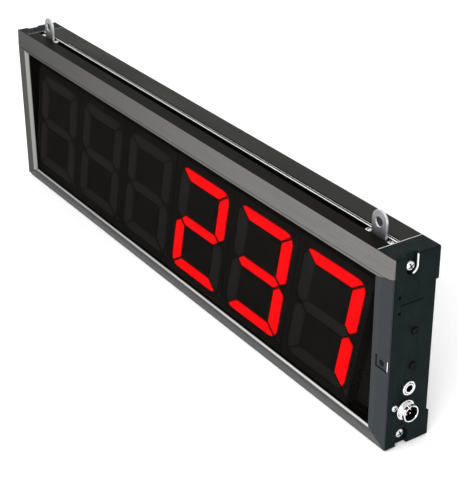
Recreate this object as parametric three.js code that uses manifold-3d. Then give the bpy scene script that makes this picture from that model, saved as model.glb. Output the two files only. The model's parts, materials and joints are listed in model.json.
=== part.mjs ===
// Wall and ceiling hung six-digit light-emitting display, built as on the bench.
// Millimetres. +X runs along the housing to the connector end, the display looks along -Y, +Z is up.
// The origin is on the housing's underside, at its middle.
import * as THREE from 'three';
import { mergeVertices } from 'three/addons/utils/BufferGeometryUtils.js';
import Module from 'manifold-3d';

const wasm = await Module();
wasm.setup();

// ---------------------------------------------------------------- driving dimensions
const LENGTH = 590;
const DEPTH = 42;
const HEIGHT = 160;
const GAP = 0.3; // running gap between touching pieces

const CAP_WRAP = 20.5; // how far each end cap wraps over the rails
const WALL = 2.7; // end cap wall
const CAP_EDGE = 1.5; // rounded outer edge of the end cap
const CAP_BACK_STEP = 2.4; // the cap's back stands in beside the back panel
const LIP_THICK = 1.6; // front bezel thickness
const LIP_CHAMFER = 1;
const GROOVE = { near: 2.6, far: 3.7, depth: 0.6 }; // groove along the lip, from the window edge
const SIDE_LIP = 20; // bezel width beside the window

// Each rail: front lip, back flange, leaning outer part of the lip, and the height at which the lip's
// joint with the side bezel meets the housing's end.
const TOP_RAIL = { lip: 20, flange: 26, rise: 15, setback: 0.8, joint: 15 };
const BOTTOM_RAIL = { lip: 13, flange: 22, rise: 6.5, setback: 1.8, joint: 1.5 };

const SLOT_MIDDLE = -4.3; // hanging slot, across the rail
const SLOT_WIDTH = 6.4;
const CHANNEL_WIDTH = 19.2;
const SKIN = 2; // rail plate over the channel
const CHANNEL_HEIGHT = 4;
const CHANNEL_WALL = 1.5;
const PORT_RADIUS = 3.4; // screw port under the channel
const PORT_HOLE = 1.7;
const PORT_DEPTH = 9.8; // port centre, from the rail's outer face

const FILTER_THICK = 1.2;
const PANEL_THICK = 1.8;
const PANEL_RECESS = 3;
const TUCK = 3; // how far the filter and the panel reach behind the bezel and the caps
const PANEL_OVERLAP = 8; // how far the panel reaches behind the flanges

const DIGITS = 6;
const DIGIT_PITCH = 88;
const DIGITS_SHIFT = -4.5; // the row of digits stands a little away from the connector end
const MODULE_HEIGHT = 120;
const MODULE_THICK = 10;
const MODULE_DROP = 2.5; // characters sit a little below the window's middle
const MODULE_RIM = 2;
const UPRIGHT_PITCH = 59.6; // between the middles of a character's upright bars
const CHARACTER_HEIGHT = 105;
const UPRIGHT_THICK = 14.4; // measured along X
const SEGMENT_THICK = 11.8; // horizontal bars
const SEGMENT_GAP = 1.1;
const CORNER_RADIUS = 10;
const SLANT = THREE.MathUtils.degToRad(12.6);
const POINT = { radius: 2.4, out: 3 }; // decimal point
const GUIDE_WEB = 1.6; // plate that joins a digit's light guides

const BOARD_THICK = 1.6;
const BOARD_HALF = 271;
const SIDE_BOARD = { from: 281.8, to: 283.4, y: [-10, 13], z: [59, 108] };

const HANGER_X = { left: -254.5, right: 258.5 };
const LUG_WIDTH = 15.6;
const LUG_THICK = 2;
const LUG_RISE = 19.3; // above the housing's top
const LUG_HOLE = 3.25;
const LUG_HOLE_HEIGHT = 10.1;
const SHOE_LENGTH = 30.8;
const SHOE_WIDTH = 14;
const SHOE_THICK = 1.8;
const SHOE_BORE = 2.2;
const CLAMP_SCREW_OFFSET = 12.3;

const POCKET_HALF = 5.75; // open-ended pocket for an end screw
const POCKET_DEPTH = 4;
const POST_WALL = 2.2;
const SCREW_CLEARANCE = 2.1;

const DIMPLE = { radius: 1.5, depth: 1.5 };
const DIMPLES = [{ y: -14, z: 129 }, { y: -13.5, z: 116 }];
const SCORE = { y: [-12.5, 8], z: [121.5, 122.5], depth: 0.8 }; // shallow line between the dimples

const BUTTON_Y = 2;
const BUTTON_HEIGHTS = { upper: 97, lower: 68 };
const BUTTON_RADIUS = 3;
const BUTTON_PROUD = 1.2;
const BUTTON_FLANGE = { radius: 4.2, from: 289.9, to: 291.2 };
const SWITCH = { half: 3, plunger: 1.6, top: 288.6, stem: 1.2 };
const JACK = { y: -1, z: 50, half: 5.5, barrel: 4, bore: 3, depth: 10, reach: 1.9, back: 280, pin: 1.05 };
const JACK_NUT = { outer: 5.8, inner: 4.3 };
const SOCKET = { y: -3, z: 32, reach: 8, back: 282 };
const NECK_RADIUS = 5.6;
const NECK_WALL = 1.2;
const FLANGE = { radius: 8.2, reach: 2.2 };
const BARREL = { radius: 7.1, bore: 5.8, floor: 1.4 };
const SOCKET_NUT = { extra: 2, thick: 2.6 };
const PIN_PITCH = 3.6;
const PIN_RADIUS = 0.8;
const BOARD_SCREW = { y: -13.2, z: 36.6, tip: 284, clearance: 1.6 };
const IR = { x: 287.2, z: 73.5, width: 14, height: 10.6, dome: 2.6, eye: 4.2 };

// ---------------------------------------------------------------- places worked out from them
const END = LENGTH / 2;
const FRONT = -DEPTH / 2;
const BACK = DEPTH / 2;
const CAP_INNER_EDGE = END - CAP_WRAP;
const RAIL_END = CAP_INNER_EDGE - GAP;
const LIP_BACK = FRONT + LIP_THICK;
const CAP_FRONT = LIP_BACK + GAP;
const FILTER_FRONT = LIP_BACK + GAP;
const FILTER_BACK = FILTER_FRONT + FILTER_THICK;
const MODULE_FRONT = FILTER_BACK + GAP;
const MODULE_BACK = MODULE_FRONT + MODULE_THICK;
const BOARD_FRONT = MODULE_BACK + GAP;
const BOARD_BACK = BOARD_FRONT + BOARD_THICK;
const CHIP_FRONT = BOARD_BACK + GAP;
const PANEL_BACK = BACK - PANEL_RECESS;
const FLANGE_FRONT = PANEL_BACK + GAP;
const WINDOW_BOTTOM = BOTTOM_RAIL.lip;
const WINDOW_TOP = HEIGHT - TOP_RAIL.lip;
const WINDOW_END = END - SIDE_LIP;
const FILTER_END = WINDOW_END + TUCK;
const CAP_INNER = END - WALL;
const CHANNEL_DEPTH = SKIN + CHANNEL_HEIGHT;
const CHANNEL_OUTSIDE = CHANNEL_DEPTH + CHANNEL_WALL;
const FILTER_EDGE = CHANNEL_OUTSIDE + GAP;
const PORT_HEIGHTS = { bottom: PORT_DEPTH, top: HEIGHT - PORT_DEPTH };
const MODULE_MIDDLE = (WINDOW_BOTTOM + WINDOW_TOP) / 2 - MODULE_DROP;
const MODULE_LOW = MODULE_MIDDLE - MODULE_HEIGHT / 2;
const MODULE_HIGH = MODULE_MIDDLE + MODULE_HEIGHT / 2;

// ---------------------------------------------------------------- materials
const paint = (color, roughness, metalness) => ({ color, roughness, metalness });
const LOOK = {
  rail: paint(0x5f5e5c, 0.5, 0.6),
  bezel: paint(0x4c5055, 0.5, 0.4),
  cap: paint(0x1f2528, 0.55, 0),
  panel: paint(0x2a2b2c, 0.5, 0.6),
  filter: paint(0x161514, 0.15, 0),
  housing: paint(0x1c1b1a, 0.7, 0),
  guide: paint(0xb5121c, 0.4, 0),
  board: paint(0x1d4a2c, 0.6, 0),
  chip: paint(0x18181a, 0.5, 0),
  steel: paint(0xc4c6c8, 0.3, 1),
  chrome: paint(0xdedfe0, 0.15, 1),
  black: paint(0x141516, 0.5, 0),
  brass: paint(0xc9a548, 0.3, 1),
  lead: paint(0x1a1a1a, 0.6, 0),
};

const assembly = new THREE.Group();

function add(name, geometry, look) {
  const mesh = new THREE.Mesh(geometry, new THREE.MeshStandardMaterial(LOOK[look]));
  mesh.name = name;
  assembly.add(mesh);
}

// ---------------------------------------------------------------- shape helpers
function manifoldOf(geometry) {
  const plain = geometry.clone();
  plain.deleteAttribute('normal');
  plain.deleteAttribute('uv');
  const merged = mergeVertices(plain, 1e-4);
  return new wasm.Manifold(new wasm.Mesh({
    numProp: 3,
    vertProperties: new Float32Array(merged.attributes.position.array),
    triVerts: new Uint32Array(merged.index.array),
  }));
}

function geometryOf(manifold) {
  const mesh = manifold.getMesh();
  const geometry = new THREE.BufferGeometry();
  geometry.setAttribute('position', new THREE.BufferAttribute(new Float32Array(mesh.vertProperties), 3));
  geometry.setIndex(new THREE.BufferAttribute(new Uint32Array(mesh.triVerts), 1));
  return geometry;
}

function joined(pieces) {
  return geometryOf(pieces.map(manifoldOf).reduce((sum, piece) => sum.add(piece)));
}

function cutFrom(body, tools) {
  return geometryOf(tools.map(manifoldOf).reduce((rest, tool) => rest.subtract(tool), manifoldOf(body)));
}

function common(body, tool) {
  return geometryOf(manifoldOf(body).intersect(manifoldOf(tool)));
}

function block(x, y, z) {
  const box = new THREE.BoxGeometry(x[1] - x[0], y[1] - y[0], z[1] - z[0]);
  return box.translate((x[0] + x[1]) / 2, (y[0] + y[1]) / 2, (z[0] + z[1]) / 2);
}

const around = (middle, half) => [middle - half, middle + half];
const vectors = (outline) => outline.map(([u, v]) => new THREE.Vector2(u, v));

const AXES = {
  x: [new THREE.Vector3(0, 1, 0), new THREE.Vector3(0, 0, 1), new THREE.Vector3(1, 0, 0)],
  y: [new THREE.Vector3(0, 0, 1), new THREE.Vector3(1, 0, 0), new THREE.Vector3(0, 1, 0)],
  z: [new THREE.Vector3(1, 0, 0), new THREE.Vector3(0, 1, 0), new THREE.Vector3(0, 0, 1)],
};

// Extrudes an outline along one axis. Along x its points are [y, z], along y [z, x], along z [x, y].
function extrude(outline, axis, from, to, holes = []) {
  const points = vectors(outline);
  if (THREE.ShapeUtils.isClockWise(points)) {
    points.reverse();
  }
  const shape = new THREE.Shape(points);
  shape.holes = holes.map((hole) => new THREE.Path(vectors(hole)));
  const geometry = new THREE.ExtrudeGeometry(shape, { depth: to - from, bevelEnabled: false });
  geometry.translate(0, 0, from);
  return geometry.applyMatrix4(new THREE.Matrix4().makeBasis(...AXES[axis]));
}

function circle(u, v, radius, sides) {
  return Array.from({ length: sides }, (_, i) => {
    const angle = ((i + 0.5) * 2 * Math.PI) / sides;
    return [u + radius * Math.cos(angle), v + radius * Math.sin(angle)];
  });
}

function arc(u, v, radius, from, to, steps) {
  return Array.from({ length: steps + 1 }, (_, i) => {
    const angle = THREE.MathUtils.degToRad(from + ((to - from) * i) / steps);
    return [u + radius * Math.cos(angle), v + radius * Math.sin(angle)];
  });
}

function rod(axis, u, v, radius, from, to, sides = 16) {
  return extrude(circle(u, v, radius, sides), axis, from, to);
}

function ring(axis, u, v, outer, inner, from, to, sides = 24) {
  return extrude(circle(u, v, outer, sides), axis, from, to, [circle(u, v, inner, sides)]);
}

// A stretch along X on one side of the middle: side is -1 or 1, and the distances are from the middle.
function spanX(side, near, far) {
  return side > 0 ? [near, far] : [-far, -near];
}

// ---------------------------------------------------------------- rails and bezel
// Rail section in [y, depth from the rail's outer face]: leaning front lip, plate with the hanging
// slot over a channel, and a back flange.
function railOutline({ lip, flange, rise, setback }) {
  const [slotFront, slotBack] = around(SLOT_MIDDLE, SLOT_WIDTH / 2);
  const [channelFront, channelBack] = around(SLOT_MIDDLE, CHANNEL_WIDTH / 2);
  return [
    [FRONT + LIP_CHAMFER, lip],
    [FRONT, lip - LIP_CHAMFER],
    [FRONT, lip - GROOVE.near],
    [FRONT + GROOVE.depth, lip - GROOVE.near],
    [FRONT + GROOVE.depth, lip - GROOVE.far],
    [FRONT, lip - GROOVE.far],
    [FRONT, rise],
    [FRONT + setback, 0],
    [slotFront, 0],
    [slotFront, SKIN],
    [channelFront, SKIN],
    [channelFront, CHANNEL_DEPTH],
    [channelBack, CHANNEL_DEPTH],
    [channelBack, SKIN],
    [slotBack, SKIN],
    [slotBack, 0],
    [BACK, 0],
    [BACK, flange],
    [FLANGE_FRONT, flange],
    [FLANGE_FRONT, SKIN],
    [channelBack + CHANNEL_WALL, SKIN],
    [channelBack + CHANNEL_WALL, CHANNEL_OUTSIDE],
    [LIP_BACK, CHANNEL_OUTSIDE],
    [LIP_BACK, lip],
  ];
}

// What is cut from a rail's lip so that the side bezel fits: the joint rises from the window corner
// to the housing's end. Points are [depth, x].
function lipEndCut(side, { lip, joint }) {
  const beyond = lip + 5;
  const slope = (lip - joint) / SIDE_LIP;
  return [[lip, side * WINDOW_END], [joint - slope, side * (END + 1)], [beyond, side * (END + 1)],
    [beyond, side * WINDOW_END]];
}

function rail(section, toHeight) {
  const heights = [toHeight(-1), toHeight(section.flange + 1)].sort((a, b) => a - b);
  const port = toHeight(PORT_DEPTH);
  const body = joined([
    extrude(railOutline(section).map(([y, depth]) => [y, toHeight(depth)]), 'x', -END, END),
    rod('x', SLOT_MIDDLE, port, PORT_RADIUS, -RAIL_END, RAIL_END, 12),
  ]);
  const tools = [rod('x', SLOT_MIDDLE, port, PORT_HOLE, -END - 1, END + 1, 10)];
  for (const side of [-1, 1]) {
    const lipEnd = lipEndCut(side, section).map(([depth, x]) => [toHeight(depth), x]);
    tools.push(block(spanX(side, RAIL_END, END + 1), [LIP_BACK, BACK + 1], heights));
    tools.push(extrude(lipEnd, 'y', FRONT - 1, LIP_BACK + 1));
  }
  return cutFrom(body, tools);
}

const fromTop = (depth) => HEIGHT - depth;
const fromBottom = (depth) => depth;
add('top_rail', rail(TOP_RAIL, fromTop), 'rail');
add('bottom_rail', rail(BOTTOM_RAIL, fromBottom), 'rail');

function sideBezel(side) {
  const outline = [
    [WINDOW_BOTTOM + GAP, side * WINDOW_END],
    [BOTTOM_RAIL.joint + GAP, side * END],
    [HEIGHT - TOP_RAIL.joint - GAP, side * END],
    [WINDOW_TOP - GAP, side * WINDOW_END],
  ];
  const chamfer = extrude([
    [side * (WINDOW_END - 1), FRONT - 1],
    [side * (WINDOW_END + LIP_CHAMFER + 1), FRONT - 1],
    [side * (WINDOW_END - 1), FRONT + LIP_CHAMFER + 1],
  ], 'z', 0, HEIGHT);
  return cutFrom(extrude(outline, 'y', FRONT, LIP_BACK), [chamfer]);
}

const irPocket = block(around(IR.x, IR.width / 2), [FRONT - 1, LIP_BACK + 1], around(IR.z, IR.height / 2));
add('bezel_left', sideBezel(-1), 'bezel');
add('bezel_right', cutFrom(sideBezel(1), [irPocket]), 'bezel');

// ---------------------------------------------------------------- infrared eye
function infraredWindow() {
  const sunk = 0.7;
  return joined([
    block(
      around(IR.x, IR.width / 2 - GAP),
      [FRONT + sunk, LIP_BACK],
      around(IR.z, IR.height / 2 - GAP),
    ),
    rod('y', IR.z, IR.x, IR.dome, FRONT + GAP, FRONT + sunk + GAP, 16),
  ]);
}

function infraredReceiver() {
  const face = -14;
  return joined([
    block(around(IR.x, 3), [face, face + 3], around(IR.z, 3.75)),
    rod('y', IR.z, IR.x, 2.2, face - 2, face + GAP, 12),
  ]);
}

add('infrared_window', infraredWindow(), 'black');
add('infrared_receiver', infraredReceiver(), 'chip');

// ---------------------------------------------------------------- front filter and back panel
const FILTER_HEIGHTS = [FILTER_EDGE, HEIGHT - FILTER_EDGE];
const PANEL_HEIGHTS = [BOTTOM_RAIL.flange - PANEL_OVERLAP, HEIGHT - TOP_RAIL.flange + PANEL_OVERLAP];
add('front_filter', block(around(0, FILTER_END), [FILTER_FRONT, FILTER_BACK], FILTER_HEIGHTS), 'filter');
add('back_panel', block(
  around(0, CAP_INNER_EDGE + TUCK),
  [PANEL_BACK - PANEL_THICK, PANEL_BACK],
  PANEL_HEIGHTS,
), 'panel');

// ---------------------------------------------------------------- end caps
// The cap's outer form seen along Y: square at the rail, rounded on its outer edges.
function capForm(side) {
  const outline = [
    [CAP_INNER_EDGE, HEIGHT],
    [CAP_INNER_EDGE, 0],
    ...arc(END - CAP_EDGE, CAP_EDGE, CAP_EDGE, 270, 360, 4),
    ...arc(END - CAP_EDGE, HEIGHT - CAP_EDGE, CAP_EDGE, 0, 90, 4),
  ];
  return extrude(outline.map(([x, z]) => [z, side * x]), 'y', CAP_FRONT, BACK);
}

// A bar along X with a half-round side towards the housing's middle and an open, square outer side.
function openEnded(half, height, span) {
  const outer = height < HEIGHT / 2 ? [-1, height] : [height, HEIGHT + 1];
  return joined([
    rod('x', SLOT_MIDDLE, height, half, ...span, 24),
    block(span, around(SLOT_MIDDLE, half * Math.cos(Math.PI / 24)), outer),
  ]);
}

function endCap(side, extraTools = []) {
  const hollow = block(
    spanX(side, CAP_INNER_EDGE - 1, CAP_INNER),
    [CAP_FRONT + WALL, FLANGE_FRONT],
    [WALL, HEIGHT - WALL],
  );
  const form = capForm(side);
  const whole = spanX(side, CAP_INNER_EDGE, END);
  const heights = Object.values(PORT_HEIGHTS);
  const posts = heights.map((z) => common(openEnded(POCKET_HALF + POST_WALL, z, whole), form));
  const filterStep = block(
    spanX(side, CAP_INNER_EDGE - 1, FILTER_END + GAP),
    [CAP_FRONT - 1, MODULE_FRONT],
    [FILTER_EDGE - GAP, HEIGHT - FILTER_EDGE + GAP],
  );
  const backStep = block(
    spanX(side, CAP_INNER_EDGE - 1, END + 1),
    [BACK - CAP_BACK_STEP, BACK + 1],
    [BOTTOM_RAIL.flange, HEIGHT - TOP_RAIL.flange],
  );
  const screwTools = heights.flatMap((z) => [
    openEnded(POCKET_HALF, z, spanX(side, END - POCKET_DEPTH, END + 1)),
    rod('x', SLOT_MIDDLE, z, SCREW_CLEARANCE, ...spanX(side, CAP_INNER_EDGE - 1, END), 10),
  ]);
  const shell = joined([cutFrom(form, [hollow]), ...posts]);
  return cutFrom(shell, [filterStep, backStep, ...screwTools, ...extraTools]);
}

// Holes and marks on the connector end.
function connectorEndTools() {
  const through = [CAP_INNER - 1, END + 1];
  return [
    ...Object.values(BUTTON_HEIGHTS).map((z) => rod('x', BUTTON_Y, z, BUTTON_RADIUS + GAP, ...through)),
    rod('x', JACK.y, JACK.z, JACK.barrel + GAP, ...through),
    rod('x', SOCKET.y, SOCKET.z, NECK_RADIUS + GAP, ...through, 20),
    rod('x', BOARD_SCREW.y, BOARD_SCREW.z, BOARD_SCREW.clearance, ...through, 10),
    ...DIMPLES.map(({ y, z }) => rod('x', y, z, DIMPLE.radius, END - DIMPLE.depth, END + 1, 10)),
    block([END - SCORE.depth, END + 1], SCORE.y, SCORE.z),
    rod('y', IR.z, IR.x, IR.eye, FRONT, CAP_FRONT + WALL + 1, 12),
  ];
}

add('end_cap_left', endCap(-1), 'cap');
add('end_cap_right', endCap(1, connectorEndTools()), 'cap');

// ---------------------------------------------------------------- screws
// Pan-head screw with a cross recess, along +X from its tip, head outwards.
function screw({ tip, seat, top, shank, head }) {
  const profile = [
    [0, tip],
    [shank, tip + shank * 0.6],
    [shank, seat],
    [head, seat],
    [head, seat + (top - seat) * 0.5],
    [head * 0.75, top],
    [0, top],
  ];
  const body = new THREE.LatheGeometry(vectors(profile), 16).rotateZ(-Math.PI / 2);
  const slit = head * 0.2;
  const reach = head * 0.6;
  const floor = top - (top - seat) * 0.45;
  return cutFrom(body, [
    block([floor, top + 1], [-slit, slit], [-reach, reach]),
    block([floor, top + 1], [-reach, reach], [-slit, slit]),
  ]);
}

const POCKET_FLOOR = END - POCKET_DEPTH;
const END_SCREW = {
  tip: RAIL_END - 8,
  seat: POCKET_FLOOR + GAP,
  top: POCKET_FLOOR + 3,
  shank: 1.4,
  head: 3.8,
};
for (const [place, side] of [['left', -1], ['right', 1]]) {
  for (const [level, z] of Object.entries(PORT_HEIGHTS)) {
    const body = screw(END_SCREW);
    if (side < 0) {
      body.rotateZ(Math.PI);
    }
    add(`end_screw_${place}_${level}`, body.translate(0, SLOT_MIDDLE, z), 'steel');
  }
}
const boardScrew = screw({ tip: BOARD_SCREW.tip, seat: END + GAP, top: END + 2.1, shank: 1.2, head: 2.6 });
add('board_screw', boardScrew.translate(0, BOARD_SCREW.y, BOARD_SCREW.z), 'steel');

// ---------------------------------------------------------------- digits
function mirror(outline, signU, signV) {
  return outline.map(([u, v]) => [signU * u, signV * v]);
}

// The seven segments and the point of one character, upright and centred, seen from the front.
function characterOutlines() {
  const w = (UPRIGHT_PITCH + UPRIGHT_THICK) / 2;
  const h = CHARACTER_HEIGHT / 2;
  const inner = w - UPRIGHT_THICK;
  const centre = w - UPRIGHT_THICK / 2;
  const half = SEGMENT_THICK / 2;
  const g = SEGMENT_GAP / 2;
  const m = g * Math.SQRT2; // shift that leaves half the gap, measured square to a mitre
  const corner = [w - CORNER_RADIUS, h - CORNER_RADIUS, CORNER_RADIUS];
  const upper = arc(...corner, 45, 90, 2).map(([u, v]) => [u - m, v]);
  const outer = arc(...corner, 0, 45, 2).map(([u, v]) => [u, v - m]);
  const under = h - SEGMENT_THICK;
  const top = [[inner - m, under], ...upper, ...mirror(upper, -1, 1).reverse(), [m - inner, under]];
  const side = [[inner, under - m], [inner, half + g], [centre, g * 2], [w, half + g], ...outer];
  const tip = centre - 2 * g;
  const middle = [
    [tip, 0],
    [inner, half - g],
    [-inner, half - g],
    [-tip, 0],
    [-inner, g - half],
    [inner, g - half],
  ];
  const point = circle(w + POINT.out, POINT.radius - h, POINT.radius, 12);
  return [
    top,
    side,
    mirror(side, 1, -1),
    mirror(top, 1, -1),
    mirror(side, -1, -1),
    mirror(side, -1, 1),
    middle,
    point,
  ];
}

function offsetOutline(outline, distance) {
  const sign = Math.sign(THREE.ShapeUtils.area(vectors(outline)));
  const count = outline.length;
  return outline.map(([u, v], i) => {
    const [pu, pv] = outline[(i + count - 1) % count];
    const [nu, nv] = outline[(i + 1) % count];
    const before = new THREE.Vector2(u - pu, v - pv).normalize();
    const after = new THREE.Vector2(nu - u, nv - v).normalize();
    const normal = new THREE.Vector2(before.y + after.y, -(before.x + after.x)).normalize();
    const square = new THREE.Vector2(before.y, -before.x);
    const reach = (sign * distance) / Math.max(0.5, normal.dot(square));
    return [u + normal.x * reach, v + normal.y * reach];
  });
}

// Leans an outline as the characters lean, about their middle, and places it at x. Returns [z, x].
const leaning = (outline, x) => outline.map(([u, v]) => [MODULE_MIDDLE + v, x + u + v * Math.tan(SLANT)]);

// A leaning slab as wide as one digit, less an edge all round, kept between the end caps.
function digitSlab(x, edge, from, to) {
  const u = DIGIT_PITCH / 2 - GAP - edge;
  const v = MODULE_HEIGHT / 2 - edge;
  const slab = extrude(leaning([[-u, -v], [u, -v], [u, v], [-u, v]], x), 'y', from, to);
  const limit = around(0, RAIL_END - edge);
  return common(slab, block(limit, [from - 1, to + 1], [0, HEIGHT]));
}

function digitHousing(x) {
  const windows = characterOutlines().map((piece) => extrude(
    leaning(offsetOutline(piece, GAP), x), 'y', MODULE_FRONT - 1, MODULE_BACK + 1,
  ));
  const pocket = digitSlab(x, MODULE_RIM, MODULE_BACK - GUIDE_WEB - 2 * GAP, MODULE_BACK + 1);
  return cutFrom(digitSlab(x, 0, MODULE_FRONT, MODULE_BACK), [...windows, pocket]);
}

function lightGuide(x) {
  const webFront = MODULE_BACK - GUIDE_WEB - GAP;
  const fingers = characterOutlines().map((piece) => extrude(
    leaning(piece, x), 'y', MODULE_FRONT + GAP, webFront + GAP,
  ));
  return joined([digitSlab(x, MODULE_RIM + GAP, webFront, MODULE_BACK - GAP), ...fingers]);
}

for (let i = 0; i < DIGITS; i += 1) {
  const x = DIGITS_SHIFT + (i - (DIGITS - 1) / 2) * DIGIT_PITCH;
  add(`digit_${i + 1}_housing`, digitHousing(x), 'housing');
  add(`digit_${i + 1}_light_guide`, lightGuide(x), 'guide');
}

// ---------------------------------------------------------------- main board and what it carries
const MAIN_BOARD = block(around(0, BOARD_HALF), [BOARD_FRONT, BOARD_BACK], [MODULE_LOW, MODULE_HIGH]);
add('main_board', MAIN_BOARD, 'board');

function chip(x, z, width, height, thick) {
  return block(around(x, width / 2), [CHIP_FRONT, CHIP_FRONT + thick], around(z, height / 2));
}

const BUZZER = { x: 150, z: 110, radius: 6, thick: 9.5, hole: 1.2 };
const CELL = { x: 110, z: 50, radius: 10, thick: 3.2 };
const HOLDER = { width: 28, height: 25, thick: 5.2, floor: 1.4 };
const CELL_FRONT = CHIP_FRONT + HOLDER.floor + GAP;
add('controller_chip', chip(200, 90, 14, 14, 2), 'chip');
add('driver_chip_left', chip(-120, 80, 18, 10, 2.6), 'chip');
add('driver_chip_right', chip(60, 80, 18, 10, 2.6), 'chip');
const BUZZER_TOP = CHIP_FRONT + BUZZER.thick;
add('buzzer', cutFrom(
  rod('y', BUZZER.z, BUZZER.x, BUZZER.radius, CHIP_FRONT, BUZZER_TOP),
  [rod('y', BUZZER.z, BUZZER.x, BUZZER.hole, BUZZER_TOP - 2.5, BUZZER_TOP + 1, 8)],
), 'black');
add('battery_holder', cutFrom(
  chip(CELL.x, CELL.z, HOLDER.width, HOLDER.height, HOLDER.thick),
  [rod('y', CELL.z, CELL.x, CELL.radius + GAP, CELL_FRONT - GAP, CHIP_FRONT + HOLDER.thick + 1, 20)],
), 'black');
add('coin_cell', rod('y', CELL.z, CELL.x, CELL.radius, CELL_FRONT, CELL_FRONT + CELL.thick, 20), 'steel');

// ---------------------------------------------------------------- buttons on their side board
add('side_board', block([SIDE_BOARD.from, SIDE_BOARD.to], SIDE_BOARD.y, SIDE_BOARD.z), 'board');

function tactSwitch(z) {
  const bodyTop = SWITCH.top - SWITCH.stem;
  return joined([
    block([SIDE_BOARD.to + GAP, bodyTop], around(BUTTON_Y, SWITCH.half), around(z, SWITCH.half)),
    rod('x', BUTTON_Y, z, SWITCH.plunger, bodyTop - GAP, SWITCH.top, 12),
  ]);
}

function buttonCap(z) {
  return joined([
    rod('x', BUTTON_Y, z, BUTTON_FLANGE.radius, BUTTON_FLANGE.from, BUTTON_FLANGE.to),
    rod('x', BUTTON_Y, z, BUTTON_RADIUS, BUTTON_FLANGE.from, END + BUTTON_PROUD),
  ]);
}

for (const [place, z] of Object.entries(BUTTON_HEIGHTS)) {
  add(`${place}_switch`, tactSwitch(z), 'chip');
  add(`${place}_button`, buttonCap(z), 'black');
}

// ---------------------------------------------------------------- power jack
const JACK_MOUTH = END + JACK.reach;
const JACK_FLOOR = END - JACK.depth;
add('power_jack_body', cutFrom(joined([
  block([JACK.back, CAP_INNER - GAP], around(JACK.y, JACK.half), around(JACK.z, JACK.half)),
  rod('x', JACK.y, JACK.z, JACK.barrel, CAP_INNER - 1, JACK_MOUTH, 20),
]), [rod('x', JACK.y, JACK.z, JACK.bore, JACK_FLOOR, JACK_MOUTH + 1)]), 'black');
const JACK_RING = ring('x', JACK.y, JACK.z, JACK_NUT.outer, JACK_NUT.inner, END + GAP, JACK_MOUTH, 20);
add('power_jack_nut', JACK_RING, 'chrome');
add('power_jack_pin', rod('x', JACK.y, JACK.z, JACK.pin, JACK_FLOOR + GAP, END - 2.8, 10), 'steel');

// ---------------------------------------------------------------- sensor socket
const SOCKET_FLANGE = END + FLANGE.reach;
const SOCKET_RIM = END + SOCKET.reach;
add('sensor_socket_shell', cutFrom(joined([
  rod('x', SOCKET.y, SOCKET.z, NECK_RADIUS, SOCKET.back, SOCKET_FLANGE, 24),
  rod('x', SOCKET.y, SOCKET.z, FLANGE.radius, END + GAP, SOCKET_FLANGE, 24),
  rod('x', SOCKET.y, SOCKET.z, BARREL.radius, SOCKET_FLANGE - 0.5, SOCKET_RIM, 24),
]), [
  rod('x', SOCKET.y, SOCKET.z, NECK_RADIUS - NECK_WALL, SOCKET.back - 1, SOCKET_RIM + 1, 24),
  rod('x', SOCKET.y, SOCKET.z, BARREL.bore, END + BARREL.floor, SOCKET_RIM + 1, 24),
]), 'chrome');

function socketNut() {
  const span = [CAP_INNER - GAP - SOCKET_NUT.thick, CAP_INNER - GAP];
  const hex = rod('x', SOCKET.y, SOCKET.z, NECK_RADIUS + SOCKET_NUT.extra, ...span, 6);
  return cutFrom(hex, [rod('x', SOCKET.y, SOCKET.z, NECK_RADIUS + GAP, span[0] - 1, span[1] + 1, 20)]);
}

add('sensor_socket_nut', socketNut(), 'chrome');

const PIN_PLACES = [[-1, -1], [1, -1], [1, 1], [-1, 1]].map(
  ([u, v]) => [SOCKET.y + (u * PIN_PITCH) / 2, SOCKET.z + (v * PIN_PITCH) / 2],
);
const PIN_BACK = SOCKET.back - 2;
const INSULATOR = { from: SOCKET.back + 1, to: END + 1.1 };
add('sensor_socket_insulator', cutFrom(
  rod('x', SOCKET.y, SOCKET.z, NECK_RADIUS - NECK_WALL - GAP, INSULATOR.from, INSULATOR.to, 20),
  PIN_PLACES.map(([y, z]) => rod('x', y, z, PIN_RADIUS + GAP, INSULATOR.from - 1, INSULATOR.to + 1, 10)),
), 'black');
PIN_PLACES.forEach(([y, z], i) => {
  add(`sensor_socket_pin_${i + 1}`, rod('x', y, z, PIN_RADIUS, PIN_BACK, END + 5, 10), 'brass');
});

// ---------------------------------------------------------------- hangers
const CHANNEL_FLOOR = HEIGHT - CHANNEL_DEPTH;
const SHOE_TOP = HEIGHT - SKIN - GAP;
const SHOE_BOTTOM = SHOE_TOP - SHOE_THICK;

function hanger(x) {
  const half = LUG_WIDTH / 2;
  const root = SHOE_BOTTOM + 0.5;
  const crown = arc(HEIGHT + LUG_RISE - half, x, half, -90, 90, 10);
  const hole = circle(HEIGHT + LUG_HOLE_HEIGHT, x, LUG_HOLE, 16);
  const outline = [[root, x - half], ...crown, [root, x + half]];
  const lug = extrude(outline, 'y', ...around(SLOT_MIDDLE, LUG_THICK / 2), [hole]);
  const shoe = block(
    around(x, SHOE_LENGTH / 2),
    around(SLOT_MIDDLE, SHOE_WIDTH / 2),
    [SHOE_BOTTOM, SHOE_TOP],
  );
  const bores = around(x, CLAMP_SCREW_OFFSET).map(
    (place) => rod('z', place, SLOT_MIDDLE, SHOE_BORE, SHOE_BOTTOM - 1, SHOE_TOP + 1, 12),
  );
  return cutFrom(joined([lug, shoe]), bores);
}

// Clamp screw, standing on the channel floor and pushing the shoe up against the rail's skin.
const CLAMP_SCREW = {
  tip: CHANNEL_FLOOR + GAP,
  seat: SHOE_TOP + GAP,
  top: HEIGHT - GAP,
  shank: 1.8,
  head: 2.6,
};

function clampScrew(x) {
  return screw(CLAMP_SCREW).rotateY(-Math.PI / 2).translate(x, SLOT_MIDDLE, 0);
}

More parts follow.
